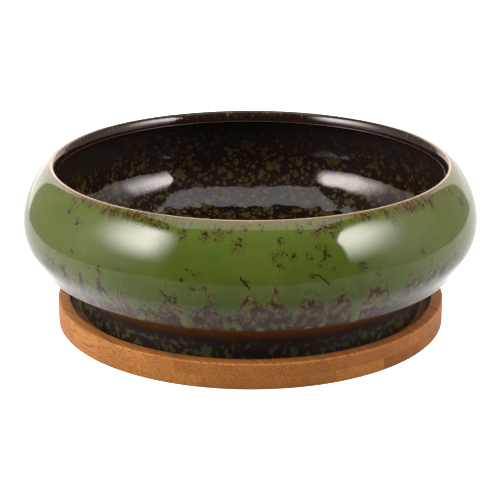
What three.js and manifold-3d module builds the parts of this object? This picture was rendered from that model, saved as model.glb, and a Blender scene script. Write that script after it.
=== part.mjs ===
// Glazed ceramic succulent bowl standing in the recess of a laminated bamboo saucer.
// Millimetres, +Z up. The origin is the centre of the saucer's underside.
// Azimuth 0 of the photographed view looks along +Y.

import * as THREE from "three";
import { mergeVertices } from "three/addons/utils/BufferGeometryUtils.js";
import Module from "manifold-3d";

// Bowl, outside. The insets are steps in radius, and the heights are above the foot ring's face.
const BELLY_RADIUS = 92.4;
const RIM_INSET = 12.6;
const EDGE_INSET = 7.4;
const UNDERCUT = 14.7;
const FOOT_HEIGHT = 12.0;
const EDGE_HEIGHT = 19.3;
const BELLY_HEIGHT = 37.6;
const BOWL_HEIGHT = 60.2;
const FOOT_BEVEL = 1.0;
const COVE_RADIUS = 5.0;
const EDGE_ROUND = 1.6;
const EDGE_LEAN = THREE.MathUtils.degToRad(66);

// Bowl, inside and underneath
const LIP_DEPTH = 4.9;
const LIP_INSET = 1.8;
const LIP_ROUND = 1.0;
const WALL = 6.5;
const INNER_BELLY_DROP = 2.1;
const FLOOR = 7.4;
const FLOOR_BEND = 17.3;
const FOOT_RING_WIDTH = 7.0;
const FOOT_HOLLOW = 2.6;
const FOOT_HOLLOW_FILLET = 1.6;
const DRAIN_RADIUS = 6.5;
const DRAIN_ROUND = 1.5;

// Saucer
const FOOT_PLAY = 4.2;
const RING_WIDTH = 5.1;
const LOWER_PLY = 5.0;
const UPPER_PLY = 5.3;
const GLUE_LINE = 0.1;
const SAUCER_TOP_ROUND = 0.9;
const SAUCER_FOOT_BEVEL = 0.5;
const RECESS_DEPTH = 4.0;
const RECESS_ARRIS = 0.5;
const RECESS_FILLET = 1.0;

// Bamboo slats. Each ply is cut out of a board of whole slats.
// The staggers are how far the joints lie from the centre, as a share of a slat.
const SLATS_PER_BOARD = 8;
const BOARD_TRIM = 8.4;
const GRAIN_DIRECTION = THREE.MathUtils.degToRad(-55);
const LOWER_STAGGER_SHARE = 0.295;
const UPPER_STAGGER_SHARE = 0;

// How full the bowl's free curves are, as a share of each curve's width or height
const SHOULDER_FLAT = 0.38;
const SHOULDER_STEEP = 0.47;
const LIP_FLAT = 0.45;
const LIP_STEEP = 0.62;
const LOWER_BELLY_STEEP = 0.49;
const LOWER_BELLY_LEAN = 0.23;
const INNER_SHOULDER_FLAT = 0.45;
const INNER_SHOULDER_DIP = 0.12;
const INNER_SHOULDER_STEEP = 0.4;
const INNER_BELLY_STEEP = 0.51;
const INNER_FLOOR_FLAT = 0.43;

// Facets
const TURN_SEGMENTS = 72;
const LONG_CURVE_STEPS = 8;
const SHORT_CURVE_STEPS = 6;
const ROUND_STEPS = 3;
const SMALL_ROUND_STEPS = 2;
const BEVEL_STEPS = 1;
const FULLEST_ROUND = 0.45;
const MERGE_DISTANCE = 1e-4;
const CUTTER_MARGIN = 5.0;

// Radii and levels that several pieces share
const RIM_RADIUS = BELLY_RADIUS - RIM_INSET;
const EDGE_RADIUS = BELLY_RADIUS - EDGE_INSET;
const FOOT_RADIUS = EDGE_RADIUS - UNDERCUT;
const RECESS_RADIUS = FOOT_RADIUS + FOOT_PLAY;
const SAUCER_RADIUS = RECESS_RADIUS + RING_WIDTH;
const UPPER_PLY_Z = LOWER_PLY + GLUE_LINE;
const SAUCER_TOP_Z = UPPER_PLY_Z + UPPER_PLY;
const RECESS_FLOOR_Z = SAUCER_TOP_Z - RECESS_DEPTH;

const wasm = await Module();
wasm.setup();

// Profiles are lists of (radius, height) points

const point = (radius, height) => new THREE.Vector2(radius, height);

function curve(start, startHandle, endHandle, end, steps = LONG_CURVE_STEPS) {
  return new THREE.CubicBezierCurve(start, startHandle, endHandle, end).getPoints(steps);
}

// A corner between two straight neighbours, rounded off by a distance along each
function rounded(before, corner, after, distance, steps = ROUND_STEPS) {
  const towards = (target) => {
    const step = target.clone().sub(corner);
    return step.setLength(Math.min(distance, FULLEST_ROUND * step.length())).add(corner);
  };
  return new THREE.QuadraticBezierCurve(towards(before), corner, towards(after)).getPoints(steps);
}

function withoutRepeats(points) {
  return points.filter((p, i) => i === 0 || p.distanceTo(points[i - 1]) > MERGE_DISTANCE);
}

// The profile turned about the vertical axis
function turned(profile) {
  return new THREE.LatheGeometry(withoutRepeats(profile), TURN_SEGMENTS).rotateX(Math.PI / 2);
}

// Solids for joining and cutting, and back

function solid(geometry) {
  const bare = geometry.clone();
  bare.deleteAttribute("normal");
  bare.deleteAttribute("uv");
  const merged = mergeVertices(bare, MERGE_DISTANCE);
  return new wasm.Manifold(
    new wasm.Mesh({
      numProp: 3,
      vertProperties: merged.attributes.position.array,
      triVerts: new Uint32Array(merged.index.array),
    }),
  );
}

function geometryOf(manifold) {
  const mesh = manifold.getMesh();
  const geometry = new THREE.BufferGeometry();
  geometry.setAttribute("position", new THREE.BufferAttribute(mesh.vertProperties, 3));
  geometry.setIndex(new THREE.BufferAttribute(mesh.triVerts, 1));
  geometry.computeVertexNormals();
  return geometry;
}

function named(name, geometry, material) {
  const mesh = new THREE.Mesh(geometry, material);
  mesh.name = name;
  return mesh;
}

// Bowl: one turned wall, with a round drain hole through its floor

function bowlProfile() {
  const foot = point(FOOT_RADIUS, 0);
  const waist = point(FOOT_RADIUS, FOOT_HEIGHT);
  const edge = point(EDGE_RADIUS, EDGE_HEIGHT);
  const belly = point(BELLY_RADIUS, BELLY_HEIGHT);
  const rim = point(RIM_RADIUS, BOWL_HEIGHT);
  const lipStart = point(RIM_RADIUS + LIP_ROUND, BOWL_HEIGHT);
  const arris = point(RIM_RADIUS - LIP_INSET, BOWL_HEIGHT - LIP_DEPTH);
  const innerBelly = point(BELLY_RADIUS - WALL, BELLY_HEIGHT - INNER_BELLY_DROP);
  const ringInnerRadius = FOOT_RADIUS - FOOT_RING_WIDTH;
  const floorLevel = FOOT_HOLLOW + FLOOR;
  const floorEdge = point(ringInnerRadius - FLOOR_BEND, floorLevel);
  const drainTop = point(DRAIN_RADIUS, floorLevel);
  const drainFoot = point(DRAIN_RADIUS, FOOT_HOLLOW);
  const hollowEdge = point(ringInnerRadius, FOOT_HOLLOW);
  const ringInner = point(ringInnerRadius, 0);

  const shoulderRise = BOWL_HEIGHT - BELLY_HEIGHT;
  const shoulderReach = BELLY_RADIUS - RIM_RADIUS;
  const lowerDrop = BELLY_HEIGHT - EDGE_HEIGHT;
  const innerRise = arris.y - innerBelly.y;
  const innerReach = innerBelly.x - arris.x;
  const innerDrop = innerBelly.y - floorLevel;
  const innerFloorReach = innerBelly.x - floorEdge.x;
  const leaning = (distance) =>
    point(Math.cos(EDGE_LEAN), Math.sin(EDGE_LEAN)).multiplyScalar(distance).add(edge);

  return [
    ...rounded(ringInner, foot, waist, FOOT_BEVEL, SMALL_ROUND_STEPS),
    ...rounded(foot, waist, edge, COVE_RADIUS),
    ...rounded(waist, edge, leaning(lowerDrop), EDGE_ROUND),
    ...curve(
      leaning(EDGE_ROUND),
      leaning(EDGE_ROUND + LOWER_BELLY_LEAN * lowerDrop),
      point(BELLY_RADIUS, BELLY_HEIGHT - LOWER_BELLY_STEEP * lowerDrop),
      belly,
    ),
    ...curve(
      belly,
      point(BELLY_RADIUS, BELLY_HEIGHT + SHOULDER_STEEP * shoulderRise),
      point(RIM_RADIUS + SHOULDER_FLAT * shoulderReach, BOWL_HEIGHT),
      rim,
    ).slice(0, -1),
    ...curve(
      lipStart,
      point(lipStart.x - LIP_FLAT * (lipStart.x - arris.x), BOWL_HEIGHT),
      point(arris.x, arris.y + LIP_STEEP * LIP_DEPTH),
      arris,
      SHORT_CURVE_STEPS,
    ),
    ...curve(
      arris,
      point(arris.x + INNER_SHOULDER_FLAT * innerReach, arris.y - INNER_SHOULDER_DIP * innerRise),
      point(innerBelly.x, innerBelly.y + INNER_SHOULDER_STEEP * innerRise),
      innerBelly,
      SHORT_CURVE_STEPS,
    ),
    ...curve(
      innerBelly,
      point(innerBelly.x, innerBelly.y - INNER_BELLY_STEEP * innerDrop),
      point(floorEdge.x + INNER_FLOOR_FLAT * innerFloorReach, floorLevel),
      floorEdge,
    ),
    ...rounded(floorEdge, drainTop, drainFoot, DRAIN_ROUND),
    drainFoot,
    ...rounded(drainFoot, hollowEdge, ringInner, FOOT_HOLLOW_FILLET, SMALL_ROUND_STEPS),
    ringInner,
    rounded(ringInner, foot, waist, FOOT_BEVEL, SMALL_ROUND_STEPS)[0],
  ];
}

function bowl() {
  const glaze = new THREE.MeshStandardMaterial({
    color: 0x56682a,
    roughness: 0.16,
    metalness: 0,
  });
  const mesh = named("glazed_bowl", turned(bowlProfile()), glaze);
  mesh.position.z = RECESS_FLOOR_Z;
  return mesh;
}

// Saucer: two round plies, each glued up from parallel bamboo slats

function lowerPlyProfile() {
  const outerFoot = point(SAUCER_RADIUS, 0);
  const outerTop = point(SAUCER_RADIUS, LOWER_PLY);
  return [
    point(0, 0),
    ...rounded(point(0, 0), outerFoot, outerTop, SAUCER_FOOT_BEVEL, BEVEL_STEPS),
    outerTop,
    point(0, LOWER_PLY),
  ];
}

function upperPlyProfile() {
  const outerFoot = point(SAUCER_RADIUS, UPPER_PLY_Z);
  const outerTop = point(SAUCER_RADIUS, SAUCER_TOP_Z);
  const recessTop = point(RECESS_RADIUS, SAUCER_TOP_Z);
  const recessFoot = point(RECESS_RADIUS, RECESS_FLOOR_Z);
  const recessCentre = point(0, RECESS_FLOOR_Z);
  return [
    point(0, UPPER_PLY_Z),
    outerFoot,
    ...rounded(outerFoot, outerTop, recessTop, SAUCER_TOP_ROUND),
    ...rounded(outerTop, recessTop, recessFoot, RECESS_ARRIS, BEVEL_STEPS),
    ...rounded(recessTop, recessFoot, recessCentre, RECESS_FILLET, SMALL_ROUND_STEPS),
    recessCentre,
  ];
}

// The board's parallel strips, each cut to the round ply
function slats(prefix, profile, stagger, colours) {
  const ply = solid(turned(profile));
  const pitch = (2 * (SAUCER_RADIUS + BOARD_TRIM)) / SLATS_PER_BOARD;
  const length = 2 * (SAUCER_RADIUS + CUTTER_MARGIN);
  const height = 2 * (SAUCER_TOP_Z + CUTTER_MARGIN);
  return Array.from({ length: SLATS_PER_BOARD }, (_, i) => {
    const acrossGrain = (i + 0.5 - SLATS_PER_BOARD / 2 + stagger) * pitch;
    const strip = new THREE.BoxGeometry(length, pitch - GLUE_LINE, height);
    strip.translate(0, acrossGrain, 0);
    strip.rotateZ(GRAIN_DIRECTION);
    const bamboo = new THREE.MeshStandardMaterial({
      color: colours[i % colours.length],
      roughness: 0.5,
      metalness: 0,
    });
    return named(`${prefix}_${i + 1}`, geometryOf(ply.intersect(solid(strip))), bamboo);
  });
}

function saucer() {
  const group = new THREE.Group();
  const lowerColours = [0xb67d48, 0xa96f3c, 0xc08a55];
  const upperColours = [0xb0743e, 0xbb8049, 0xa56a36];
  group.add(...slats("lower_slat", lowerPlyProfile(), LOWER_STAGGER_SHARE, lowerColours));
  group.add(...slats("upper_slat", upperPlyProfile(), UPPER_STAGGER_SHARE, upperColours));
  return group;
}

const succulentPot = new THREE.Group();
succulentPot.add(saucer(), bowl());

export default succulentPot;
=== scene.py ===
"""Looks of a glazed succulent bowl that stands in the recess of a bamboo saucer.

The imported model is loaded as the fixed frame. The bowl and the slats are drawn again here as finer
surfaces of the same form, and get their glaze and their grain.
"""

import math

import bmesh
import bpy
import numpy as np
from bpy.props import FloatProperty, FloatVectorProperty, IntProperty, PointerProperty
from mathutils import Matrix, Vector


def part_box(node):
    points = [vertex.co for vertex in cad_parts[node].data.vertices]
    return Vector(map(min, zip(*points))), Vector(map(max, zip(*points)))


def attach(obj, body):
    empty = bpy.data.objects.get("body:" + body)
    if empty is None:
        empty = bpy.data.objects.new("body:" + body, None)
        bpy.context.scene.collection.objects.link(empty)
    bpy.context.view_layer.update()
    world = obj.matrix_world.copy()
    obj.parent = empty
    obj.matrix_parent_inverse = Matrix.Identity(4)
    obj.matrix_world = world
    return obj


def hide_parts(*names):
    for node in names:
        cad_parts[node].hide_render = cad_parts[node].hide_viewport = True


bl_info = {
    "name": "Succulent pot and saucer",
    "version": (1, 0, 0),
    "blender": (4, 5, 0),
    "location": "3D View > Sidebar > Succulent Pot",
    "description": "Turns and glazes a succulent bowl, and lays up its bamboo saucer",
    "category": "Object",
}

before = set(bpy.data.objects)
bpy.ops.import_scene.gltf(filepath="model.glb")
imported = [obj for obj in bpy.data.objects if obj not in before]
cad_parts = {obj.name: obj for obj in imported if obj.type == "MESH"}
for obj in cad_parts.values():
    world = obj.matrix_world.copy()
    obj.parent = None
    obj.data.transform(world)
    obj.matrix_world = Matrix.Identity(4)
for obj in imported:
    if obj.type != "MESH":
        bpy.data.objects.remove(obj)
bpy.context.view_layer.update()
BOWL_LOW, BOWL_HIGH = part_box("glazed_bowl")

MM = 0.001
DEGREES = 180 / math.pi

# How far each curve of the bowl's section follows its handles, as shares of its own rise or reach
SHOULDER_FLAT, SHOULDER_STEEP = 0.38, 0.47
SIDE_STEEP, SIDE_LEAN = 0.49, 0.23
LIP_FLAT, LIP_STEEP = 0.45, 0.62
FLOOR_FLAT, INNER_SIDE_STEEP = 0.43, 0.51
INNER_SHOULDER_STEEP, INNER_LIP_FLAT, INNER_LIP_DROP = 0.4, 0.45, 0.12

# The lip band's length along its curve, as a share of its depth
LIP_RUN = 1.04

# Radii in mm at which the glaze's patterns and its specks are laid out round the bowl
SKIN_RADIUS = 90
SPECK_RADIUS = 88

# Sprayed drops, in layers: size of a cell in mm, shift, share of cells that hold a drop
INSIDE_DROPS = ((1.7, 5, 0.22), (2.6, 11.3, 0.36), (3.6, 27.1, 0.3), (5.2, 43, 0.08))
BAND_DROPS = ((2, 3, 0.18), (3.2, 9, 0.16))

# How light each slat is, from 0 to 1
LOWER_TONES = (0.84, 0.58, 0.66, 0.86, 0.28, 0.48, 0.5, 0.45)
UPPER_TONES = (0.85, 0.56, 0.5, 0.46, 0.44, 0.58, 0.62, 0.5)

# The table's left, right, front and back edge, in metres
TABLE = (-0.27, 0.38, -0.3, 1.4)

# The overhead panel's edges, as slopes sideways and in depth, and how softly they end
PANEL_ASIDE, PANEL_DEEP, PANEL_SOFT = (-0.47, 0.47), (-0.33, 0.39), 0.015

# Where the green glaze ends on the outside: degrees round from the front, mm above the foot
GLAZE_LINE = (
    (-57, 38), (-53.4, 34.5), (-50.9, 36), (-48.4, 32.5), (-47.2, 30.5), (-44.6, 31), (-43, 35.4),
    (-41.8, 27), (-39, 28.5), (-37, 37.6), (-35.6, 30.2), (-34.1, 27), (-32.6, 28), (-31.2, 35.8),
    (-30.4, 27), (-29.4, 22), (-27.6, 23.5), (-25.7, 28), (-23.8, 25.2), (-22.1, 25.4), (-20.4, 30),
    (-19.2, 33.4), (-16.9, 32), (-15.6, 24.5), (-14.2, 25.5), (-12.9, 29.6), (-11, 30),
    (-9.3, 32.6), (-7.6, 28.6), (-5.7, 25.6), (-3.3, 26.6), (-1.7, 32.4), (-0.3, 36.8), (1.2, 33.4),
    (3, 28.6), (4.3, 33.6), (5.6, 37.4), (7.2, 32.6), (8.4, 27.6), (9.8, 27), (11.3, 33),
    (13.8, 33), (15.9, 33.8), (17.4, 27.8), (19.6, 30.8), (21.4, 33.6), (23.4, 31.5), (24.6, 24),
    (26, 22.5), (27.4, 34.4), (30.1, 33.6), (33, 33.4), (34.4, 28.5), (36.7, 26.5), (38.2, 30),
    (39.7, 33), (42.5, 34.4), (45.3, 31.8), (47.4, 35.6), (50.4, 33.8), (53.3, 35.8), (57.2, 36.6),
)

# Thick drops of green glaze that hang at the lower edge: degrees round, mm above the foot,
# half width in mm, half length in mm
GLAZE_DROPS = (
    (-15.6, 21.6, 2.1, 4.2), (-2.9, 19.6, 0.9, 1.6), (2.4, 18.9, 1.6, 1.8), (14.3, 18.8, 1.3, 1.4),
    (17.6, 19.4, 1, 1.6), (26.4, 21, 1.6, 3.6),
    (104, 20.2, 1.5, 2.6), (137, 21, 2, 3.8), (168, 20, 1.4, 2.4),
    (-161, 20.8, 1.8, 3.4), (-128, 20.2, 1.3, 2.2), (-100, 21, 1.9, 3.6),
)

# Clusters of iron specks in the green: degrees round, mm above the foot, radius in mm
IRON_CLUSTERS = (
    (-11.1, 55.6, 2.4), (-8, 56.1, 2.8), (-8.1, 57.8, 1.8), (-16.4, 55.3, 2.4), (-2.9, 53.6, 3),
    (6.9, 54.3, 1.8), (11.8, 57.5, 1.8), (15.8, 56.3, 2.2), (5.5, 49.7, 2), (7.4, 49.9, 1.6),
    (9.6, 49.1, 2), (13.3, 48.7, 1.8), (16.2, 51.9, 2), (17.6, 49.6, 2.6), (17, 47.3, 1.8),
    (-14.5, 44.2, 1.4), (-12.4, 43.1, 1.8), (-11.5, 43.2, 1.2), (-15.5, 40.2, 1.4),
    (13.7, 41.9, 1.6), (6.8, 46.3, 1.6), (5.7, 46.4, 1.2), (-46.3, 42.2, 1.6), (-37, 38.8, 2),
    (-40.2, 38.8, 1.2), (-31.6, 40.6, 1.2), (26.1, 43.5, 2.6), (30.4, 39.8, 1.6), (18.7, 43.6, 1.6),
    (15.5, 45.8, 1.4), (-51.6, 55, 1.8), (-46.9, 52.8, 2), (-40.2, 58.4, 2.4), (-36.5, 58.6, 2.4),
    (-33.1, 58.6, 2), (-29.3, 58.2, 3.6), (-27, 57.8, 3), (-24, 57.2, 3), (-21.5, 57, 2.8),
    (29.9, 58.6, 2), (22.4, 59.2, 1.4), (19.2, 58, 3), (20.8, 56, 3), (17.5, 57.3, 2.4),
    (43.4, 58.9, 2.4), (45.5, 58.7, 3), (49.3, 58.9, 2.4), (53.3, 57.2, 2), (44.2, 43.7, 2),
    (37.7, 55.4, 2), (-1, 40.6, 1.6), (-13.2, 37.9, 2), (-10.5, 37.9, 1.6), (-4.9, 56.8, 1.4),
    (-1.4, 58.3, 1.4), (2.8, 58.2, 1.4), (68, 52, 2.6), (76, 44, 2), (88, 57.8, 3.4), (97, 47, 2.2),
    (112, 58.6, 3), (121, 41, 1.8), (133, 50, 2.6), (146, 58.4, 3.6), (158, 43, 2), (171, 54, 2.8),
    (-70, 44, 2), (-78, 57.8, 3.4), (-89, 49, 2.4), (-101, 42, 1.8), (-115, 58.2, 3.2),
    (-126, 51, 2.6), (-139, 44, 2), (-150, 58, 3.4), (-167, 48, 2.4),
)

# Hair-lines in the green, as runs of (degrees round, mm above the foot)
HAIR_LINES = (
    ((-2.3, 42.1), (-0.3, 38.6)),
    ((13.6, 41.3), (14.4, 42.6), (15.4, 42), (17.6, 38.6)),
    ((-43, 34.5), (-41.6, 24.6)),
    ((-20.7, 35.6), (-19.5, 33.6), (-16.8, 33)),
    ((17.65, 51.8), (17, 47.9)),
)


# ---------------------------------------------------------------- sizes and colours


def length(name, description, millimetres):
    """A length that the user may change, given here in millimetres."""
    return FloatProperty(
        name=name,
        description=description,
        default=millimetres * MM,
        min=0.0,
        precision=4,
        subtype="DISTANCE",
        unit="LENGTH",
    )


def share(name, description, default):
    """A share of a slat's width."""
    return FloatProperty(
        name=name, description=description, default=default, min=0.0, max=1.0, subtype="FACTOR"
    )


def angle(name, description, degrees):
    """An angle, given here in degrees."""
    return FloatProperty(
        name=name,
        description=description,
        default=math.radians(degrees),
        subtype="ANGLE",
        unit="ROTATION",
    )


def brightness(name, description, default):
    """How brightly something in the studio shines, where 1 is plain white."""
    return FloatProperty(name=name, description=description, default=default, min=0.0)


def count(name, description, default, least, most):
    return IntProperty(name=name, description=description, default=default, min=least, max=most)


def colour(name, description, *rgb):
    return FloatVectorProperty(
        name=name, description=description, default=rgb, size=3, min=0.0, max=1.0, subtype="COLOR"
    )


class BowlSizes(bpy.types.PropertyGroup):
    foot_level: length("Foot level", "Height of the face under the foot", BOWL_LOW[2] / MM)
    belly_radius: length("Belly radius", "Widest outside radius", BOWL_HIGH[0] / MM)
    bowl_height: length("Height", "Crest above the foot", (BOWL_HIGH[2] - BOWL_LOW[2]) / MM)
    belly_height: length("Belly height", "Widest point above the foot", 37.6)
    rim_inset: length("Rim inset", "Step in radius from the belly to the crest", 12.6)
    edge_inset: length("Edge inset", "Step in radius from the belly to the lower edge", 7.4)
    edge_height: length("Edge height", "Lower edge above the foot", 19.3)
    edge_round: length("Edge round", "Rounding of the lower edge", 1.6)
    edge_lean: angle("Edge lean", "Slope of the side just above the lower edge", 66)
    undercut: length("Undercut", "Step in radius from the lower edge to the foot", 14.7)
    foot_height: length("Foot height", "Foot's face to the waist", 12)
    foot_bevel: length("Foot bevel", "Bevel under the foot ring", 1)
    cove: length("Cove", "Rounding in the waist", 5)
    lip_depth: length("Lip depth", "Crest to the sharp arris inside", 4.9)
    lip_inset: length("Lip inset", "Step in radius from the crest to the arris", 1.8)
    lip_round: length("Lip round", "Step in radius from the crest to the shoulder", 1)
    wall: length("Wall", "Thickness at the belly", 6.5)
    inner_belly_drop: length("Inner belly drop", "Belly above the inside's widest point", 2.1)
    floor: length("Floor", "Thickness of the floor", 7.4)
    floor_bend: length("Floor bend", "Ring's inside to the flat of the floor", 17.3)
    ring_width: length("Ring width", "Width of the foot ring", 7)
    hollow: length("Foot hollow", "Depth of the hollow under the floor", 2.6)
    hollow_fillet: length("Hollow fillet", "Rounding inside the foot ring", 1.6)
    drain_radius: length("Drain radius", "Radius of the drain hole", 6.5)
    drain_round: length("Drain round", "Rounding of the drain hole's upper edge", 1.5)
    unevenness: length("Unevenness", "How far the thrown wall wanders", 0.12)
    ripple: length("Glaze ripple", "How far the pooled glaze inside rises and falls", 0.045)
    drop_thickness: length("Drop thickness", "How far the glaze drops stand proud", 0.4)
    segments: count("Segments", "Facets round the bowl", 576, 48, 1024)


class GlazeColours(bpy.types.PropertyGroup):
    moss: colour("Moss", "The green glaze where it is thick", 0.056, 0.09, 0.0105)
    # Olive is also laid over the left and right sides as painted light
    olive: colour("Olive", "The green glaze where it is thin", 0.098, 0.112, 0.0205)
    hem: colour("Hem", "The pale glaze under the crest", 0.098, 0.078, 0.019)
    umber: colour("Umber", "The dark glaze under the green", 0.02, 0.011, 0.0085)
    rust: colour("Rust", "The dark glaze where it breaks thin", 0.078, 0.0255, 0.0068)
    gold: colour("Gold", "The thin edge round a drop of green", 0.135, 0.074, 0.02)
    speck: colour("Speck", "Iron specks and hair-lines", 0.01, 0.0065, 0.003)
    clay: colour("Clay", "The crest, where the clay shows through", 0.42, 0.28, 0.2)
    droplet: colour("Droplet", "Sprayed green drops on the dark glaze", 0.058, 0.06, 0.0165)
    bare_foot: colour("Bare foot", "Unglazed clay under the foot ring", 0.33, 0.2, 0.13)
    # Painted reflection: a grey haze of room light, laid into the colour of the dark glaze inside,
    # high up
    reflected_haze: colour("Haze", "Grey in the dark glaze inside, high up", 0.016, 0.016, 0.017)


class SaucerSizes(bpy.types.PropertyGroup):
    radius: length("Radius", "Outside radius of both plies", 79.6)
    lower_ply: length("Lower ply", "Thickness of the lower ply", 5)
    upper_ply: length("Upper ply", "Thickness of the upper ply", 5.3)
    glue_line: length("Glue line", "Glue between plies and slats", 0.1)
    top_round: length("Top round", "Rounding of the outer upper edge", 0.9)
    foot_bevel: length("Foot bevel", "Bevel of the outer lower edge", 0.5)
    recess_radius: length("Recess radius", "Radius of the recess", 74.5)
    recess_depth: length("Recess depth", "Depth of the recess", 4)
    recess_arris: length("Recess arris", "Bevel round the recess", 0.5)
    recess_fillet: length("Recess fillet", "Rounding at the foot of the recess", 1)
    slat_pitch: length("Slat pitch", "Width of one slat", 22)
    slats: count("Slats", "Slats in a ply's board", 8, 2, 24)
    lower_stagger: share("Lower stagger", "Offset of the lower joints, as a share of a slat", 0.295)
    upper_stagger: share("Upper stagger", "Offset of the upper joints, as a share of a slat", 0)
    grain: angle("Grain", "Direction of the slats, round from +X", -55)
    segments: count("Segments", "Facets round the saucer", 480, 48, 1024)
    pale: colour("Pale", "Bamboo flesh between the fibres", 0.42, 0.168, 0.04)
    dark: colour("Dark", "Bamboo fibres", 0.195, 0.062, 0.0115)


class StudioSettings(bpy.types.PropertyGroup):
    pitch: angle("Pitch", "How far the camera looks down", 19.18)
    roll: angle("Roll", "Camera roll", -0.09)
    distance: length("Distance", "Camera to the point it looks at", 644.7)
    target_x: FloatProperty(
        name="Target X", description="Aimed point, sideways", default=-0.55 * MM, unit="LENGTH"
    )
    target_z: length("Target Z", "Aimed point above the floor", 27.3)
    focal: FloatProperty(
        name="Focal length",
        description="In sensor millimetres",
        default=112.37,
        subtype="DISTANCE_CAMERA",
    )
    boxes: brightness("Softboxes", "Brightness of the softboxes", 15)
    overhead: brightness("Overhead", "Brightness of the overhead panel", 1.8)
    backdrop: brightness("Backdrop", "Brightness of the backdrop", 2)
    room: brightness("Room", "Brightness of the room in front", 0.12)
    floor_glow: brightness("Floor glow", "How much brighter the table is at the sides", 0.86)


# ---------------------------------------------------------------- shader expressions


class Signal:
    """One socket in a shader expression. Each operator adds the node that it names."""

    def __init__(self, bench, socket):
        self.bench = bench
        self.socket = socket

    def __add__(self, other):
        return self.bench.maths("ADD", self, other)

    def __sub__(self, other):
        return self.bench.maths("SUBTRACT", self, other)

    def __rsub__(self, other):
        return self.bench.maths("SUBTRACT", other, self)

    def __mul__(self, other):
        return self.bench.maths("MULTIPLY", self, other)

    def __truediv__(self, other):
        return self.bench.maths("DIVIDE", self, other)

    def __abs__(self):
        return self.bench.call("ABSOLUTE", self)

    __radd__ = __add__
    __rmul__ = __mul__


class Bench:
    """A node tree at work: every node is added by node(), and arithmetic by maths()."""

    def __init__(self, tree):
        self.tree = tree
        tree.nodes.clear()

    def node(self, kind, settings=None, inputs=None):
        """Adds a node, sets it up, then feeds its sockets with values or signals."""
        made = self.tree.nodes.new(kind)
        for key, value in (settings or {}).items():
            setattr(made, key, value)
        for key, value in (inputs or {}).items():
            if isinstance(value, Signal):
                self.tree.links.new(value.socket, made.inputs[key])
            else:
                made.inputs[key].default_value = value
        return made

    def out(self, kind, settings=None, inputs=None, output=0):
        """One output of a new node, as a signal."""
        return Signal(self, self.node(kind, settings, inputs).outputs[output])

    def maths(self, operation, first, second):
        """A Math node, or a Vector Math node where either side is a vector."""
        sides = [first, second]
        wide = [
            isinstance(s, tuple) or (isinstance(s, Signal) and s.socket.type in ("VECTOR", "RGBA"))
            for s in sides
        ]
        if not any(wide):
            return self.call(operation, *sides)
        if operation == "MULTIPLY" and not all(wide):
            vector, number = sides if wide[0] else sides[::-1]
            return self.vector_call("SCALE", {"Vector": vector, "Scale": number})
        sides = [s if w or isinstance(s, Signal) else (s, s, s) for s, w in zip(sides, wide)]
        return self.vector_call(operation, dict(enumerate(sides)))

    def call(self, operation, *values):
        """Any Math operation, such as SQRT or ARCTAN2."""
        return self.out("ShaderNodeMath", {"operation": operation}, dict(enumerate(values)))

    def vector_call(self, operation, inputs, output=0):
        return self.out("ShaderNodeVectorMath", {"operation": operation}, inputs, output)

    def most(self, first, second):
        return self.call("MAXIMUM", first, second)

    def over(self, first, second):
        """1 where the first is greater than the second, and otherwise 0."""
        return self.call("GREATER_THAN", first, second)

    def reach(self, x, y):
        """The distance from the axis."""
        return self.call("SQRT", x * x + y * y)

    def turn(self, x, y):
        """The angle round the axis from the front, in radians, growing to the right."""
        return self.call("ARCTAN2", x, y * -1)

    def rise(self, signal, low, high):
        """0 below low, 1 above high, and a smooth step between; low above high falls instead."""
        if low > high:
            return 1 - self.rise(signal, high, low)
        return self.out(
            "ShaderNodeMapRange",
            {"interpolation_type": "SMOOTHSTEP"},
            {"Value": signal, "From Min": low, "From Max": high},
        )

    def mix(self, factor, first, second):
        """first where factor is 0, second where it is 1, as colours."""
        sides = [s if isinstance(s, Signal) else (*s, 1) for s in (first, second)]
        return self.out(
            "ShaderNodeMix",
            {"data_type": "RGBA", "clamp_factor": True},
            {"Factor": factor, 6: sides[0], 7: sides[1]},
            output=2,
        )

    def paint(self, ground, *layers):
        """Lays colours over the ground in turn, each given as (how much of it shows, colour)."""
        for factor, rgb in layers:
            ground = self.mix(factor, ground, rgb)
        return ground

    def noise(self, vector, size, detail, rough):
        """Cloudy noise from 0 to 1, with lumps of about that size in mm."""
        inputs = {"Vector": vector, "Scale": 1 / size, "Detail": detail, "Roughness": rough}
        return self.out("ShaderNodeTexNoise", None, inputs)

    def cells(self, vector, size, randomness=1):
        """Scattered cells of about that size in mm: the distance to the nearest one's centre, in
        cells, and a random colour of its own."""
        inputs = {"Vector": vector, "Scale": 1 / size, "Randomness": randomness}
        made = self.node("ShaderNodeTexVoronoi", None, inputs)
        return Signal(self, made.outputs["Distance"]), Signal(self, made.outputs["Color"])

    def attribute(self, name):
        return self.out("ShaderNodeAttribute", {"attribute_name": name}, output="Fac")

    def vector(self, x, y, z):
        return self.out("ShaderNodeCombineXYZ", None, {0: x, 1: y, 2: z})

    def parts(self, vector):
        made = self.node("ShaderNodeSeparateXYZ", None, {0: vector})
        return [Signal(self, made.outputs[i]) for i in range(3)]


def material(name):
    """A new material with a bench, its coordinates in mm, and a function that finishes it."""
    made = bpy.data.materials.new(name)
    made.use_nodes = True
    bench = Bench(made.node_tree)
    place = bench.out("ShaderNodeTexCoord", output="Object") * (1 / MM)

    def finish(inputs, relief=None):
        """inputs are the shader's own, and relief is the surface's height in mm."""
        if relief is not None:
            bump = {"Strength": 1, "Distance": MM, "Height": relief}
            inputs = {**inputs, "Normal": bench.out("ShaderNodeBump", None, bump)}
        shader = bench.out("ShaderNodeBsdfPrincipled", None, inputs)
        bench.node("ShaderNodeOutputMaterial", None, {"Surface": shader})
        return made

    return bench, place, finish


# ---------------------------------------------------------------- profiles of (radius, height)


def straight(start, end, steps):
    """Points on the line from start to end."""
    t = np.linspace(0, 1, steps + 1)[:, None]
    return start + (end - start) * t


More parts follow.
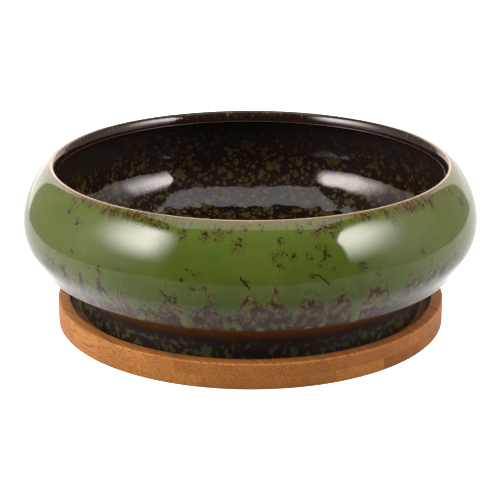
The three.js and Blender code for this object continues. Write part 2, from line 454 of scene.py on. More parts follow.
def bezier(start, handle, other_handle, end, steps):
    """Points on a cubic: each end pulls along its handle."""
    t = np.linspace(0, 1, steps + 1)[:, None]
    u = 1 - t
    return u**3 * start + 3 * u * u * t * handle + 3 * u * t * t * other_handle + t**3 * end


def rounded(before, corner, after, distance, steps):
    """A corner between two straight neighbours, rounded off by a distance along each."""

    def towards(target):
        step = target - corner
        reach = np.hypot(*step)
        return corner + step / reach * min(distance, 0.45 * reach)

    t = np.linspace(0, 1, steps + 1)[:, None]
    first, last = towards(before), towards(after)
    return (1 - t) ** 2 * first + 2 * (1 - t) * t * corner + t * t * last


def joined(pieces):
    """One row of points, without the ones that two pieces share."""
    row = np.vstack(pieces)
    gap = np.hypot(*np.diff(row, axis=0).T)
    return row[np.r_[True, gap > 2e-6]]


def at(radius, height):
    return np.array([radius, height])


def bowl_profile(s):
    """The bowl's closed section, from the crest down the outside, under the foot, through the drain
    hole, over the floor and up the inside. Returns the points, and how far each lies from the crest
    along the outside, along the inside, and below the lower edge."""
    edge_radius = s.belly_radius - s.edge_inset
    foot_radius = edge_radius - s.undercut
    rim_radius = s.belly_radius - s.rim_inset
    rim, belly = at(rim_radius, s.bowl_height), at(s.belly_radius, s.belly_height)
    edge, waist = at(edge_radius, s.edge_height), at(foot_radius, s.foot_height)
    ring_inside = foot_radius - s.ring_width
    foot, ring_foot = at(foot_radius, 0), at(ring_inside, 0)
    hollow_edge, drain_foot = at(ring_inside, s.hollow), at(s.drain_radius, s.hollow)
    floor_level = s.hollow + s.floor
    floor_edge = at(ring_inside - s.floor_bend, floor_level)
    drain_top = at(s.drain_radius, floor_level)
    inner_belly = at(s.belly_radius - s.wall, s.belly_height - s.inner_belly_drop)
    arris = at(rim_radius - s.lip_inset, s.bowl_height - s.lip_depth)
    lean = at(math.cos(s.edge_lean), math.sin(s.edge_lean))
    rise, drop = s.bowl_height - s.belly_height, s.belly_height - s.edge_height
    inner_reach, inner_rise = at(inner_belly[0], arris[1]) - at(arris[0], inner_belly[1])

    shoulder = bezier(
        rim,
        at(rim_radius + SHOULDER_FLAT * s.rim_inset, s.bowl_height),
        at(s.belly_radius, s.belly_height + SHOULDER_STEEP * rise),
        belly,
        steps=30,
    )
    shoulder = shoulder[shoulder[:, 0] > rim_radius + s.lip_round]
    side = bezier(
        belly,
        at(s.belly_radius, s.belly_height - SIDE_STEEP * drop),
        edge + lean * (s.edge_round + SIDE_LEAN * drop),
        edge + lean * s.edge_round,
        steps=20,
    )
    lip_start = at(rim_radius + s.lip_round, s.bowl_height)
    lip = bezier(
        lip_start,
        at(lip_start[0] - LIP_FLAT * (lip_start[0] - arris[0]), s.bowl_height),
        at(arris[0], arris[1] + LIP_STEEP * s.lip_depth),
        arris,
        steps=24,
    )
    crest = np.argmin(abs(lip[:, 0] - rim_radius))
    cove = rounded(edge, waist, foot, s.cove, 4)
    bevel = rounded(waist, foot, ring_foot, s.foot_bevel, 2)
    inner_side = bezier(
        floor_edge,
        at(floor_edge[0] + FLOOR_FLAT * (inner_belly[0] - floor_edge[0]), floor_level),
        at(inner_belly[0], inner_belly[1] - INNER_SIDE_STEEP * (inner_belly[1] - floor_level)),
        inner_belly,
        steps=32,
    )
    inner_shoulder = bezier(
        inner_belly,
        at(inner_belly[0], inner_belly[1] + INNER_SHOULDER_STEEP * inner_rise),
        arris + at(INNER_LIP_FLAT * inner_reach, -INNER_LIP_DROP * inner_rise),
        arris,
        steps=14,
    )
    outside = joined([
        lip[crest::-1],
        shoulder,
        side,
        rounded(edge + lean * drop, edge, waist, s.edge_round, 6),
        straight(edge + (waist - edge) * 0.12, cove[0], 6),
        cove,
        straight(cove[-1], bevel[0], 6),
        bevel,
        ring_foot[None],
        rounded(ring_foot, hollow_edge, drain_foot, s.hollow_fillet, 3),
        straight(hollow_edge + (drain_foot - hollow_edge) * 0.06, drain_foot, 4),
    ])
    inside = joined([
        lip[crest:],
        inner_shoulder[::-1],
        inner_side[::-1],
        straight(floor_edge, drain_top, 6)[:-1],
        rounded(floor_edge, drain_top, drain_foot, s.drain_round, 4),
        straight(drain_top, drain_foot, 3)[1:],
    ])

    def lengths(row):
        return np.r_[0, np.cumsum(np.hypot(*np.diff(row, axis=0).T))]

    outside_run, inside_run = lengths(outside), lengths(inside)
    inside, inside_run = inside[1:-1], inside_run[1:-1]
    profile = np.vstack([outside, inside[::-1]])
    down_outside = np.r_[outside_run, np.zeros(len(inside))]
    down_inside = np.r_[np.zeros(len(outside)), inside_run[::-1]]
    below_edge = down_outside - outside_run[np.argmin(np.hypot(*(outside - edge).T))]
    return profile, down_outside, down_inside, below_edge


# ---------------------------------------------------------------- meshes


def ripples(points, wavelength, seed, waves=28):
    """A sum of waves in all directions, each of about that wavelength, of unit strength."""
    random = np.random.default_rng(seed)
    ways = random.normal(size=(waves, 3))
    ways /= np.linalg.norm(ways, axis=1, keepdims=True)
    ways *= 2 * np.pi / (wavelength * random.uniform(0.7, 1.5, (waves, 1)))
    phases = random.uniform(0, 2 * np.pi, waves)
    return np.sin(points @ ways.T + phases).sum(1) / math.sqrt(waves / 2)


def smooth_step(values, low, high):
    t = np.clip((values - low) / (high - low), 0, 1)
    return t * t * (3 - 2 * t)


def sharp(mesh, degrees):
    """Smooth shading, with an edge kept sharp where its faces turn by more than that."""
    mesh.polygons.foreach_set("use_smooth", np.ones(len(mesh.polygons), bool))
    mesh.set_sharp_from_angle(angle=math.radians(degrees))


def mark(mesh, key, numbers):
    """Gives each point of the mesh a number, which its material reads."""
    made = mesh.attributes.new(key, "FLOAT", "POINT")
    made.data.foreach_set("value", np.asarray(numbers, np.float32).ravel())


def added(name, data):
    """A new object of the scene, made from a mesh or a camera."""
    made = bpy.data.objects.new(name, data)
    bpy.context.scene.collection.objects.link(made)
    return made


def mesh_object(name, vertices, faces):
    mesh = bpy.data.meshes.new(name)
    mesh.from_pydata(vertices, [], faces)
    mesh.update()
    return added(name, mesh)


def grid_faces(rows, columns, wrap_rows):
    """Four-sided faces of a grid whose columns run round and close."""
    row = np.arange(rows if wrap_rows else rows - 1)[:, None]
    column = np.arange(columns)[None]
    following, beside = (row + 1) % rows, (column + 1) % columns
    corners = [
        row * columns + column,
        following * columns + column,
        following * columns + beside,
        row * columns + beside,
    ]
    return np.stack([np.broadcast_to(c, (len(row), columns)) for c in corners], -1).reshape(-1, 4)


def glaze_line_height(turn):
    """The height at which the green glaze ends, round the bowl: the measured line at the front, and
    round the back the same line read backwards from its two ends, with a slow wave laid over it."""
    places, heights = np.array(GLAZE_LINE).T
    first, last = places[0], places[-1]
    span = last - first
    steps = (turn - first) % 360
    folded = np.abs((steps + span) % (2 * span) - span)
    beyond = smooth_step(steps, span, span + 12) * smooth_step(360 - steps, 0, 12)
    wave = 2.0 * np.sin(np.radians(turn * 3 + 40)) + 1.2 * np.sin(np.radians(turn * 7))
    return np.interp(first + folded, places, heights) + beyond * wave


class SUCCULENT_OT_turn_bowl(bpy.types.Operator):
    """Turn the bowl, with its uneven wall, pooled glaze and drops, and glaze it"""

    bl_idname = "succulent.turn_bowl"
    bl_label = "Turn and glaze the bowl"

    def execute(self, context):
        sizes = context.scene.succulent_bowl
        bowl = turned_bowl(sizes)
        bowl.data.materials.append(moss_glaze(context.scene.succulent_glaze, sizes))
        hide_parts("glazed_bowl")
        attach(bowl, "pot")
        return {"FINISHED"}


def arc(degrees, place, radius):
    """How far round the bowl from a place, the short way, in the unit of the radius."""
    return np.radians((degrees - place + 180) % 360 - 180) * radius


def turned_bowl(s):
    """The profile carried round the axis: a point at turn a is (radius sin a, -radius cos a,
    height), so that 0 faces the front. It is then moved along its normal by the wall's slow
    unevenness, the ripple of the pooled glaze inside, and the drops at the lower edge."""
    profile, outside, inside, under = bowl_profile(s)
    turn = np.linspace(-np.pi, np.pi, s.segments, endpoint=False)

    def carried(across, up):
        return np.stack([across * np.sin(turn), -across * np.cos(turn), up + 0 * turn], -1)

    radius, height = profile[:, :1], profile[:, 1:]
    points = carried(radius, height)
    ahead, behind = np.roll(profile, -1, 0), np.roll(profile, 1, 0)
    along = (ahead - behind) / np.linalg.norm(ahead - behind, axis=1, keepdims=True)
    normal = carried(-along[:, 1:], along[:, :1])

    grid = points.shape[:2]
    out_mm, in_mm, height_mm = outside[:, None] / MM, inside[:, None] / MM, height / MM
    slow, swell, pooled = (
        ripples(points.reshape(-1, 3) / MM, wavelength, seed).reshape(grid)
        for wavelength, seed in ((70, 4), (17, 5), (10, 6))
    )
    inner = smooth_step(in_mm, 5.5, 12) * (0.15 + 0.85 * smooth_step(in_mm, 76, 54))
    inner = inner * smooth_step(in_mm, 114, 100)
    outer = smooth_step(out_mm, 2, 8) * smooth_step(out_mm, 50, 44)
    rise = s.unevenness * (np.clip(slow, -1.8, 1.8) - 2.2) * smooth_step(height_mm, 1.5, 14)
    rise *= (out_mm > 0) * smooth_step(out_mm, 60, 46) + (in_mm > 0)
    rise += s.ripple * (inner * 0.8 * (pooled + swell) + outer * 0.25 * swell)

    degrees = np.degrees(turn)[None]
    on_side = (out_mm > 0) * (out_mm < 60)
    drop, iron = np.zeros(grid), np.zeros(grid)
    for place, level, half_width, half_length in GLAZE_DROPS:
        across = arc(degrees, place, radius / MM) / half_width
        down = (height_mm - level) / half_length
        bulge = np.clip(1 - across**2 - down**2, 0, 1)
        drop = np.maximum(drop, bulge * on_side * (out_mm > 30))
    for place, level, reach in IRON_CLUSTERS:
        away = np.hypot(arc(degrees, place, SPECK_RADIUS), height_mm - level) / reach
        iron = np.maximum(iron, np.clip(1.4 - away, 0, 1) * on_side)
    rise += s.drop_thickness * np.sqrt(drop)
    points = points + normal * rise[..., None]
    points[..., 2] += s.foot_level

    made = mesh_object("bowl", points.reshape(-1, 3), grid_faces(*grid, True))
    line = glaze_line_height(degrees)
    for key, numbers in {
        "down_outside": out_mm,
        "down_inside": in_mm,
        "below_edge": under[:, None] / MM,
        "above_glaze_line": height_mm - np.where(out_mm > 0, line, 60),
        "glaze_drop": drop,
        "iron_cluster": iron,
    }.items():
        mark(made.data, key, np.broadcast_to(numbers, grid))
    sharp(made.data, 40)
    return made


def shade(rgb, amount):
    """A colour made darker or lighter."""
    return tuple(v * amount for v in rgb)


def hair_lines(b, around, level):
    """How far the place is from the nearest drawn hair-line. around and level are the place on the
    bowl, all in mm."""
    here = b.vector(around, level, 0)
    nearest = None
    for line in HAIR_LINES:
        for (turn, height), (next_turn, next_height) in zip(line, line[1:]):
            start = np.array([math.radians(turn) * SKIN_RADIUS, height, 0])
            step = np.array([math.radians(next_turn) * SKIN_RADIUS, next_height, 0]) - start
            offset = here - tuple(start)
            share_of = tuple(step / (step @ step))
            along = b.vector_call("DOT_PRODUCT", {0: offset, 1: share_of}, "Value")
            held = b.out("ShaderNodeClamp", None, {"Value": along})
            foot = b.vector_call("SCALE", {"Vector": tuple(step), "Scale": held})
            away = b.vector_call("LENGTH", {0: offset - foot}, "Value")
            nearest = away if nearest is None else b.call("MINIMUM", nearest, away)
    return nearest


def scattered_drops(b, place, layers, crowding, ragged):
    """Round sprayed drops in several sizes. Returns how far a drop covers the place, how near its
    rim it is, and its tone."""
    cover, rim, tone = 0, 0, 0.5
    for size, shift, share_held in layers:
        away, colour_of = b.cells(place + shift, size)
        reach, held, shade_of = b.parts(colour_of)
        inside = (0.22 + reach * 0.24 - away + ragged * 0.2) * size
        present = b.rise(crowding + share_held - held, 0, 0.03)
        one = b.rise(inside, -0.16, 0.3) * present
        edge = b.rise(inside, -0.2, 0.05) * b.rise(inside, 0.45, 0.15) * present
        rim = b.most((1 - one) * rim, edge)
        tone = (1 - one) * tone + one * shade_of
        cover = b.most(cover, one)
    return cover, rim, tone


def moss_glaze(c, s):
    """Dark iron glaze all over, with green sprayed over it outside down to a ragged line, and as
    round drops inside and on the foot."""
    b, place, finish = material("moss glaze")
    outside, inside = b.attribute("down_outside"), b.attribute("down_inside")
    above, drop = b.attribute("above_glaze_line"), b.attribute("glaze_drop")
    cluster, below_edge = b.attribute("iron_cluster"), b.attribute("below_edge")
    x, y, z = b.parts(place)
    radius = b.reach(x, y)
    round_x, round_y = x / radius * SKIN_RADIUS, y / radius * SKIN_RADIUS
    turn = b.turn(x, y)
    level = z - s.foot_level / MM
    is_inside = b.over(inside, 0.02)

    def wrapped(down):
        """The place on a drum: round the bowl, and so far down it."""
        return b.vector(round_x, round_y, down)

    # Green outside, from the crest down to the ragged line
    skin = wrapped(outside)
    edge = above + (b.noise(wrapped(outside * 0.5), 2.6, 4, 0.65) - 0.5) * 12
    green = b.rise(edge, -0.25, 0.25)
    cloud = b.noise(skin, 19, 3, 0.55)
    mottle = b.noise(skin, 1.5, 3, 0.7)
    blotch = b.noise(skin, 5, 3, 0.65)
    # Painted light: the green turns lighter and more olive towards the left and right, where the
    # softboxes light the sides
    painted_side_light = b.rise(abs(x), 38, 84) * 0.6
    under_crest = b.rise(outside, 15, 6) * 0.4
    thin_green_and_side_light = b.most(b.rise(cloud, 0.44, 0.66) * 0.36 + painted_side_light, under_crest)
    moss = b.paint(c.moss, (thin_green_and_side_light, c.olive), (b.rise(edge, 12, 0.5) * 0.45, c.olive))
    moss = moss * (0.7 + mottle * 0.36 + blotch * 0.24)

    # Iron specks in clusters, each with a brown stain round it, and hair-lines
    fleck = b.noise(skin, 1.1, 3, 0.62)
    iron = b.rise(fleck + cluster * 0.2, 0.71, 0.75)
    stain = b.rise(cluster + (blotch - 0.5) * 2.6, 0.2, 1.2)
    around = turn * SKIN_RADIUS
    nearest = hair_lines(b, around + (mottle - 0.5) * 1.6, level + (fleck - 0.5) * 1.6)
    hair = b.rise(nearest + (blotch - 0.5) * 0.9, 0.46, 0.22)
    web = abs(b.noise(wrapped(outside * 0.8), 3.4, 3, 0.6) - 0.5)
    thread = b.rise(web, 0.018, 0.006) * b.rise(cluster + (cloud - 0.5) * 1.5, 0.3, 0.75)
    vein = b.rise(web, 0.022, 0.008) * b.rise(edge + (blotch - 0.5) * 7, 7, 2.5)
    moss = b.paint(
        moss,
        (stain * 0.26, shade(c.rust, 0.95)),
        (vein * 0.6, shade(c.rust, 0.36)),
        (b.most(b.most(iron, hair), thread * 0.75) * 0.88, c.speck),
    )

    # Under the crest the glaze thins, and at the sides it breaks into short brown streaks
    hem_noise = b.noise(wrapped(outside * 0.6), 1.3, 3, 0.65)
    hem = b.rise(outside + (hem_noise - 0.5) * 4, 5.2, 2.6)
    sideways = b.rise(abs(turn + 0.02), 0.3, 0.56)
    stretch = sideways * b.rise(b.noise(skin, 26, 1, 0.4), 0.4, 0.56)
    fine = b.noise(wrapped(outside * 0.34), 0.95, 3, 0.6)
    patchy = b.noise(skin, 4.6, 2, 0.6)
    reach = outside + (b.noise(wrapped(0), 2.6, 2, 0.6) - 0.5) * 10
    band = b.rise(outside, 0.8, 2) * b.rise(reach, 7.5, 4)
    broken = fine + (patchy - 0.5) * 0.3 + stretch * 0.07 + cluster * 0.05
    tan = b.rise(hem_noise + (patchy - 0.5) * 0.2, 0.56, 0.66) * b.rise(outside, 3.4, 0.8)
    moss = b.paint(
        moss,
        (hem * (0.75 - sideways * 0.3), b.mix(hem_noise, shade(c.hem, 0.75), shade(c.hem, 1.15))),
        (b.rise(patchy, 0.42, 0.6) * stretch * band * 0.3, shade(c.rust, 1.05)),
        (b.rise(broken, 0.6, 0.66) * band * 0.85, shade(c.rust, 0.34)),
        (tan * 0.5, b.mix(0.5, c.hem, c.clay)),
    )

    # Below the line: dark ground, with runs of olive that are outlined in gold and in near black
    warm = b.noise(place, 4, 3, 0.6)
    runs = b.noise(b.vector(round_x + 40, round_y, outside * 0.62), 2.7, 2, 0.5)
    cover = b.noise(skin, 11, 2, 0.5) * 0.2 + b.rise(edge, -13, -1) * 0.09
    lump = runs + cover + 0.012
    gold = b.rise(lump, 0.652, 0.668) * b.rise(lump, 0.705, 0.69)
    tinge = b.rise(b.noise(skin, 3.4, 2, 0.6), 0.45, 0.68)
    run_colour = b.mix(tinge, shade(c.hem, 1.12), shade(c.olive, 1.15)) * (0.7 + mottle * 0.55)
    spatter, _, tone = scattered_drops(b, wrapped(outside * 0.7), BAND_DROPS, 0, mottle - 0.5)
    rim_line = b.rise(edge, -1.3, -0.4) * b.rise(edge, 0.25, -0.1)
    outer = b.paint(
        b.mix(b.rise(warm, 0.34, 0.58), shade(c.umber, 1.1), shade(c.rust, 0.66)),
        (b.rise(lump, 0.665, 0.69) * 0.9, run_colour),
        (gold * 0.4, c.gold),
        (b.rise(web, 0.034, 0.014) * 0.8, shade(c.umber, 0.8)),
        (spatter * 0.65, b.mix(tone, shade(c.olive, 1.2), shade(c.gold, 0.9))),
        (rim_line * 0.55, shade(c.umber, 0.8)),
        (green, moss),
        (b.rise(drop, 0.02, 0.2), shade(c.droplet, 1.8)),
    )

    # The waist: rusty under the lower edge with fine turning lines, and near black further in
    waist = b.rise(below_edge, -0.3, 0.3)
    lines = b.noise(b.vector(round_x * 0.03, round_y * 0.03, level), 0.55, 3, 0.65)
    rusty = b.rise(level + (lines - 0.5) * 3, 8.6, 13)
    sparks = b.rise(b.noise(wrapped(level * 0.8), 1.5, 2, 0.5) + rusty * 0.04, 0.67, 0.72)
    runs_over = b.rise(lump + b.rise(below_edge, 3, 0.3) * 0.04, 0.735, 0.76)
    runs_over = runs_over * b.rise(below_edge, 2.6, 1.6)

    # The foot: near black with soft green patches low down
    patches = b.noise(wrapped(level * 1.1), 2.6, 1, 0.4)
    patches = b.rise(patches + b.noise(skin, 15, 1, 0.5) * 0.2, 0.63, 0.68)
    patches = patches * b.rise(level + (blotch - 0.5) * 6, 10, 6)
    waist_colour = b.paint(
        b.mix(rusty, shade(c.umber, 0.42), shade(c.rust, 1.5)) * (0.3 + lines * 1.3),
        (sparks * rusty * 0.75, shade(c.gold, 1.1)),
        (runs_over * 0.8, shade(c.olive, 1.2)),
        (patches * 0.85, shade(c.droplet, 0.85)),
    )
    bare = b.rise(below_edge, 27.4, 28.2)
    outer = b.paint(outer, (waist * b.rise(drop, 0.15, 0.02), waist_colour), (bare, c.bare_foot))

    # Inside: near black, with round green drops that crowd towards the floor
    depth = b.rise(inside, 9, 36)
    drops, ring, tone = scattered_drops(b, place, INSIDE_DROPS, depth * 0.28, mottle - 0.5)
    old_drop = b.mix(0.35, shade(c.droplet, 0.74), shade(c.rust, 0.7))
    # Painted shade: the drops are dimmed low down, near the floor
    drops_and_floor_shade = drops * (0.22 + depth * 0.62 - b.rise(inside, 46, 62) * 0.34)
    # Painted shade: the ground darkens further down inside; high up it takes the grey haze, a
    # painted reflection
    inner = b.paint(
        b.mix(depth, b.mix(0.5, shade(c.umber, 0.72), c.reflected_haze), shade(c.umber, 0.42)),
        (b.rise(warm, 0.5, 0.66) * depth * 0.4, shade(c.rust, 0.3)),
        (drops_and_floor_shade, b.mix(tone, shade(c.droplet, 0.84), old_drop)),
        (ring * depth * 0.3, shade(c.gold, 0.4)),
    )

    # The lip band inside: near black with rusty and golden specks, a few pale runs from the crest,
    # and a thin arris
    lip_end = s.lip_depth / MM * LIP_RUN
    lip = b.rise(inside, lip_end + 0.12, lip_end - 0.12)
    runs_down = b.rise(b.noise(wrapped(inside * 0.25), 1.7, 2, 0.6), 0.61, 0.65)
    runs_down = runs_down * b.rise(inside + (warm - 0.5) * 6, 3, 1.8)
    speckle = b.noise(place, 1.3, 3, 0.65)
    lip_colour = b.paint(
        shade(c.umber, 0.45),
        (b.rise(speckle, 0.5, 0.64) * 0.6, shade(c.rust, 0.55)),
        (b.rise(speckle, 0.64, 0.7) * 0.4, shade(c.gold, 0.8)),
        (runs_down * 0.8, c.hem),
    )
    arris_place = abs(inside - lip_end + (warm - 0.5) * 0.2)
    arris = b.rise(arris_place, 0.36, 0.14) * b.rise(warm, 0.25, 0.42)
    inner = b.paint(inner, (lip, lip_colour), (arris * 0.7, shade(c.rust, 1.9)))

    # The crest's outer side, where the glaze runs off and the clay shows, though not at the back
    from_crest = outside + inside * 3
    at_back = b.rise(y, 18, 52)
    crest = b.rise(from_crest + (hem_noise - 0.5) * 0.9, 1.18, 0.78) * (1 - at_back * 0.9)
    both = b.paint(outer, (is_inside, inner), (crest * 0.9, shade(c.clay, 1.18)))

    thin = b.rise(from_crest, 3, 1.2) * (1 - at_back)
    rough = 0.04 + thin * 0.2 + bare * 0.6 + waist * 0.4
    rough = rough + lip * is_inside * 0.03 + arris * is_inside * 0.4
    relief = b.noise(place, 3.2, 1, 0.4) * 0.008
    relief = relief + green * (1 - is_inside) * 0.015 + drops * is_inside * 0.008
    relief = relief + waist * lines * 0.05
    return finish({"Base Color": both, "Roughness": rough, "IOR": 1.5}, relief)


def lower_ply_profile(s):
    """Section of the lower ply, from the centre of its underside out and back over its top."""
    inset = s.radius - 2 * s.foot_bevel
    foot, top = at(s.radius, 0), at(s.radius, s.lower_ply)
    return joined([
        straight(at(0, 0), at(inset, 0), 4),
        rounded(at(0, 0), foot, top, s.foot_bevel, 3),
        top[None],
        straight(at(inset, s.lower_ply), at(0, s.lower_ply), 4),
    ])


def upper_ply_profile(s):
    """Section of the upper ply, out under it and back over the ring and down into the recess."""
    level = s.lower_ply + s.glue_line * 0.3
    high = s.lower_ply + s.glue_line + s.upper_ply
    floor = high - s.recess_depth
    foot, top = at(s.radius, level), at(s.radius, high)
    recess_top, recess_foot = at(s.recess_radius, high), at(s.recess_radius, floor)
    return joined([
        straight(at(0, level), foot, 5),
        rounded(foot, top, recess_top, s.top_round, 5),
        rounded(top, recess_top, recess_foot, s.recess_arris, 2),
        rounded(recess_top, recess_foot, at(0, floor), s.recess_fillet, 4),
        straight(at(s.recess_radius - 2 * s.recess_fillet, floor), at(0, floor), 6),
    ])


def slat(name, profile, s, near, far, tone):
    """A strip of a ply: the profile carried round the axis, then cut along the grain at the two
    distances across it, and closed where it is cut."""
    turn = np.linspace(0, 2 * np.pi, s.segments, endpoint=False)
    radius, height = profile[:, :1], profile[:, 1:]
    points = np.stack([radius * np.cos(turn), radius * np.sin(turn), height + 0 * turn], -1)
    faces = grid_faces(len(profile), len(turn), False)[:, ::-1]
    piece = mesh_object(name, points.reshape(-1, 3), faces)
    shape = bmesh.new()
    shape.from_mesh(piece.data)
    bmesh.ops.remove_doubles(shape, verts=shape.verts, dist=1e-6)
    across = (-math.sin(s.grain), math.cos(s.grain), 0)
    for place, side in ((near, -1), (far, 1)):
        if abs(place) > s.radius:
            continue
        away = [side * a for a in across]
        cut = bmesh.ops.bisect_plane(
            shape,
            geom=[*shape.verts, *shape.edges, *shape.faces],
            dist=1e-7,
            plane_co=[place * a for a in across],
            plane_no=away,
            clear_outer=True,
        )
        rim = [e for e in cut["geom_cut"] if isinstance(e, bmesh.types.BMEdge)]
        bmesh.ops.triangle_fill(shape, use_beauty=True, edges=rim, normal=away)
    bmesh.ops.recalc_face_normals(shape, faces=shape.faces)
    shape.to_mesh(piece.data)
    shape.free()
    mark(piece.data, "slat_tone", np.full(len(piece.data.vertices), tone))
    sharp(piece.data, 32)
    return piece


def lay_ply(ply, profile, stagger, tones, s, wood):
    """One ply's slats side by side, each drawn a little past its solid into the glue line."""
    inset = s.glue_line * 0.15
    for i in range(s.slats):
        near = (i - s.slats / 2 + stagger) * s.slat_pitch
        far = near + s.slat_pitch - inset
        tone = tones[i % len(tones)]
        piece = slat(f"{ply}_bamboo_{i + 1}", profile, s, near + inset, far, tone)
        piece.data.materials.append(wood)
        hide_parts(f"{ply}_slat_{i + 1}")
        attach(piece, "saucer")


class SUCCULENT_OT_lay_saucer(bpy.types.Operator):
    """Lay up the two plies of bamboo slats that the saucer is turned from"""

    bl_idname = "succulent.lay_saucer"
    bl_label = "Lay up the bamboo saucer"

    def execute(self, context):
        s = context.scene.succulent_saucer
        wood = bamboo(s)
        lay_ply("lower", lower_ply_profile(s), s.lower_stagger, LOWER_TONES, s, wood)
        lay_ply("upper", upper_ply_profile(s), s.upper_stagger, UPPER_TONES, s, wood)
        return {"FINISHED"}


def bamboo(s):
    """Carbonised bamboo: fibres that run along the slats, which show as lines on the faces along
    the grain and as dots where the edge cuts across it."""
    b, place, finish = material("bamboo")
    turned = b.out(
        "ShaderNodeMapping",
        {"vector_type": "POINT"},
        {"Vector": place, "Rotation": (0, 0, -s.grain)},
    )
    along, across, z = b.parts(turned)
    x, y, _ = b.parts(place)
    from_recess = b.reach(x, y) - s.recess_radius / MM
    from_top = z - (s.lower_ply + s.glue_line + s.upper_ply) / MM
    across = across + (b.noise(turned, 30, 2, 0.5) - 0.5) * 2
    fibres = b.vector(across, z, along * 0.012)
    pores = b.rise(b.cells(fibres, 0.52, 0.85)[0], 0.44, 0.14)
    strands = b.noise(fibres, 0.55, 2, 0.6)
    bands = b.noise(b.vector(across, z * 0.5, along * 0.006), 4, 3, 0.6)
    patch = b.noise(turned, 24, 3, 0.55)
    level_face = b.rise(from_top, -0.25, -0.02)
    lightness = 0.46 + (b.attribute("slat_tone") - 0.5) * 1.2 + (bands - 0.5) * 0.7
    lightness = lightness + (patch - 0.5) * 0.8 + level_face * -0.05
    # Painted highlight: a pale, broken line along the rounded top edge, left off round the recess
    arris = b.rise(abs(from_top + 0.3), 0.38, 0.1) * b.rise(strands, 0.58, 0.46)
    arris = arris * (1 - b.rise(from_recess, 0.3, -0.1))
    recess_line = b.rise(abs(from_recess - 0.15), 0.5, 0.2) * b.rise(from_top, -0.5, -0.2)
    wood = b.paint(
        b.mix(lightness, s.dark, s.pale),
        (pores * (1 - level_face) * 0.85, shade(s.dark, 0.6)),
        (b.rise(strands, 0.47, 0.6) * (0.3 + level_face * 0.25), shade(s.dark, 0.62)),
        (arris * 0.5, shade(s.pale, 1.35)),
        (recess_line * 0.7, shade(s.dark, 0.3)),
    )
    rough = 0.5 + strands * 0.14
    sheen = {"IOR": 1.45, "Specular IOR Level": 0.22}
    relief = (strands - 0.5) * 0.04 - pores * 0.02
    return finish({"Base Color": wood, "Roughness": rough, **sheen}, relief)


# ---------------------------------------------------------------- stage


class SUCCULENT_OT_set_stage(bpy.types.Operator):
    """Set the pale floor, the soft light and the camera"""

    bl_idname = "succulent.set_stage"
    bl_label = "Set the stage"

    def execute(self, context):
        studio = context.scene.succulent_studio
        pale_floor(studio)
        soft_light(studio)
        place_camera(studio)
        context.scene.view_settings.view_transform = "Standard"
        return {"FINISHED"}


def pale_floor(studio):
    """A pale table that ends in front of the pot and at its sides. It glows with painted light in
    place of the softboxes' light at the sides and the backdrop's behind, so it is dimmest in front,
    and a painted pool of light glows in a ring close round the saucer. The camera sees it plain
    white."""
    left, right, front, back = TABLE
    corners = ((left, front), (right, front), (right, back), (left, back))
    floor = mesh_object("floor", [(*c, -MM / 10) for c in corners], [(0, 1, 2, 3)])
    b, place, finish = material("pale floor")
    x, y, _ = b.parts(place)
    around = b.turn(x, y) * DEGREES
    away = b.reach(x, y)
    slower = b.over(around, 0) * 36
    glow = 0.12 + b.rise((abs(around) - 12) / (slower + 58), 0, 1) * studio.floor_glow
    # Painted pool of light: a ring of glow close round the saucer, which the bowl's lower edge
    # reflects
    glow = glow + b.rise(away, 84, 93) * b.rise(away, 120, 101) * 0.42
    glow = glow + b.out("ShaderNodeLightPath", output="Is Camera Ray") * 1.5
    white = finish({
        "Base Color": (0.15, 0.15, 0.15, 1),
        "Roughness": 0.8,
        "Specular IOR Level": 0,
        "Emission Color": b.vector(glow, glow, glow),
        "Emission Strength": 1,
    })
    floor.data.materials.append(white)


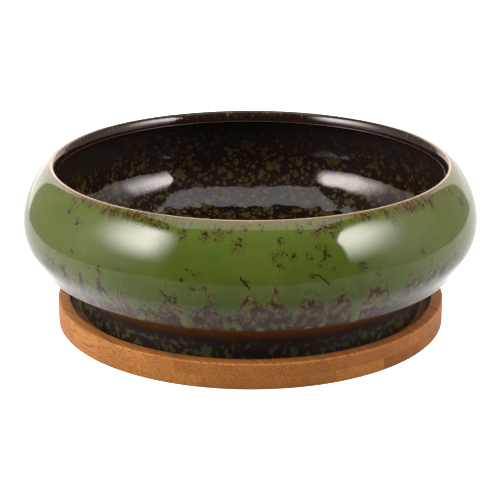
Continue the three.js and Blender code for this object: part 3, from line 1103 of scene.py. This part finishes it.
def soft_light(studio):
    """The studio as the bowl sees it: a softbox at each side in front, brightest at its inner edge,
    a square panel overhead, a white backdrop behind and a dim room in front. The camera sees
    plain white."""
    world = bpy.data.worlds.new("studio")
    world.use_nodes = True
    b = Bench(world.node_tree)
    x, y, z = b.parts(b.out("ShaderNodeTexCoord", output="Generated"))
    around = b.turn(x, y) * DEGREES
    aside, right = abs(around), b.over(around, 0)
    height = b.call("ARCSINE", z) * DEGREES
    upward = b.most(z, 0.05)
    above, below = b.most(height - 33, 0), b.most(36 - height, 0)
    into_box = aside - (42 + right * 7 + above * above * (0.026 + right * 0.024))
    under_top = right * b.rise(x / upward, 0.66, 0.92) + (1 - right) * b.rise(height, 55, 45)
    wing = b.rise((aside - 34 - right * 10) / 33, 0, 1) * b.rise(aside, 122, 70)
    wing = wing * (1.05 - right * 0.18) * (1 + b.rise(height, 0, 32) * 0.7) * under_top
    wing = wing * (0.4 + b.rise(height, -14, 4) * 0.6)
    hot = b.rise((into_box + 5 - right * 4) / (19 - right * 16.5), 0, 1)
    hot = hot * b.rise(aside + (0.25 + right * 0.25) * below, 99, 57)
    hot = hot * b.rise((height - 7 + right) / (24.5 + right * 6.5), 0, 1) * under_top
    overhead = b.over(z, 0.05)
    for side, (low_end, high_end) in ((x, PANEL_ASIDE), (y, PANEL_DEEP)):
        slope = side / upward
        overhead = overhead * b.rise(slope, low_end - PANEL_SOFT, low_end + PANEL_SOFT)
        overhead = overhead * b.rise(slope, high_end + PANEL_SOFT, high_end - PANEL_SOFT)
    behind = b.rise(aside, 142.5, 146) * b.rise(height, 66, 52)
    behind = behind * (1 - right * 0.35) * (0.88 + b.rise(height, 15, 40) * 0.55)
    strength = (
        (0.25 + b.rise(height, 10, 60) * 0.75) * studio.room
        + wing
        + hot * studio.boxes
        + overhead * studio.overhead
        + behind * studio.backdrop
        + b.rise(aside, 60, 110) * b.rise(height, 54, 42) * 0.42
    )
    camera = b.out("ShaderNodeLightPath", output="Is Camera Ray")
    strength = b.out(
        "ShaderNodeMix", {"data_type": "FLOAT"}, {"Factor": camera, "A": strength, "B": 1}
    )
    tint = b.mix(b.most(camera, overhead), (1, 0.93, 0.9), (1, 0.98, 1))
    light = b.out("ShaderNodeBackground", None, {"Color": tint, "Strength": strength})
    b.node("ShaderNodeOutputWorld", None, {"Surface": light})
    bpy.context.scene.world = world


def place_camera(studio):
    """The camera looks down at the aimed point by its pitch, from its distance in front."""
    made = bpy.data.cameras.new("camera")
    made.lens = studio.focal
    made.sensor_width = 36
    made.clip_start = 0.01
    camera = added("camera", made)
    camera.location = (
        studio.target_x,
        -studio.distance * math.cos(studio.pitch),
        studio.target_z + studio.distance * math.sin(studio.pitch),
    )
    camera.rotation_euler = (math.pi / 2 - studio.pitch, studio.roll, 0)
    bpy.context.scene.camera = camera


# ---------------------------------------------------------------- panel and registration


class SUCCULENT_PT_panel(bpy.types.Panel):
    bl_label = "Succulent Pot"
    bl_idname = "SUCCULENT_PT_panel"
    bl_space_type = "VIEW_3D"
    bl_region_type = "UI"
    bl_category = "Succulent Pot"

    def draw(self, context):
        scene = context.scene
        for operator, groups in (
            ("succulent.turn_bowl", ("succulent_bowl", "succulent_glaze")),
            ("succulent.lay_saucer", ("succulent_saucer",)),
            ("succulent.set_stage", ("succulent_studio",)),
        ):
            box = self.layout.box()
            box.operator(operator)
            for group in groups:
                settings = getattr(scene, group)
                for key in settings.bl_rna.properties.keys():
                    if key not in ("rna_type", "name"):
                        box.prop(settings, key)


GROUPS = {
    "succulent_bowl": BowlSizes,
    "succulent_glaze": GlazeColours,
    "succulent_saucer": SaucerSizes,
    "succulent_studio": StudioSettings,
}
CLASSES = (
    *GROUPS.values(),
    SUCCULENT_OT_turn_bowl,
    SUCCULENT_OT_lay_saucer,
    SUCCULENT_OT_set_stage,
    SUCCULENT_PT_panel,
)


def register():
    for item in CLASSES:
        bpy.utils.register_class(item)
    for key, group in GROUPS.items():
        setattr(bpy.types.Scene, key, PointerProperty(type=group))


def unregister():
    for key in GROUPS:
        delattr(bpy.types.Scene, key)
    for item in reversed(CLASSES):
        bpy.utils.unregister_class(item)


def main():
    register()
    bpy.ops.succulent.turn_bowl()
    bpy.ops.succulent.lay_saucer()
    bpy.ops.succulent.set_stage()


if __name__ == "__main__":
    main()
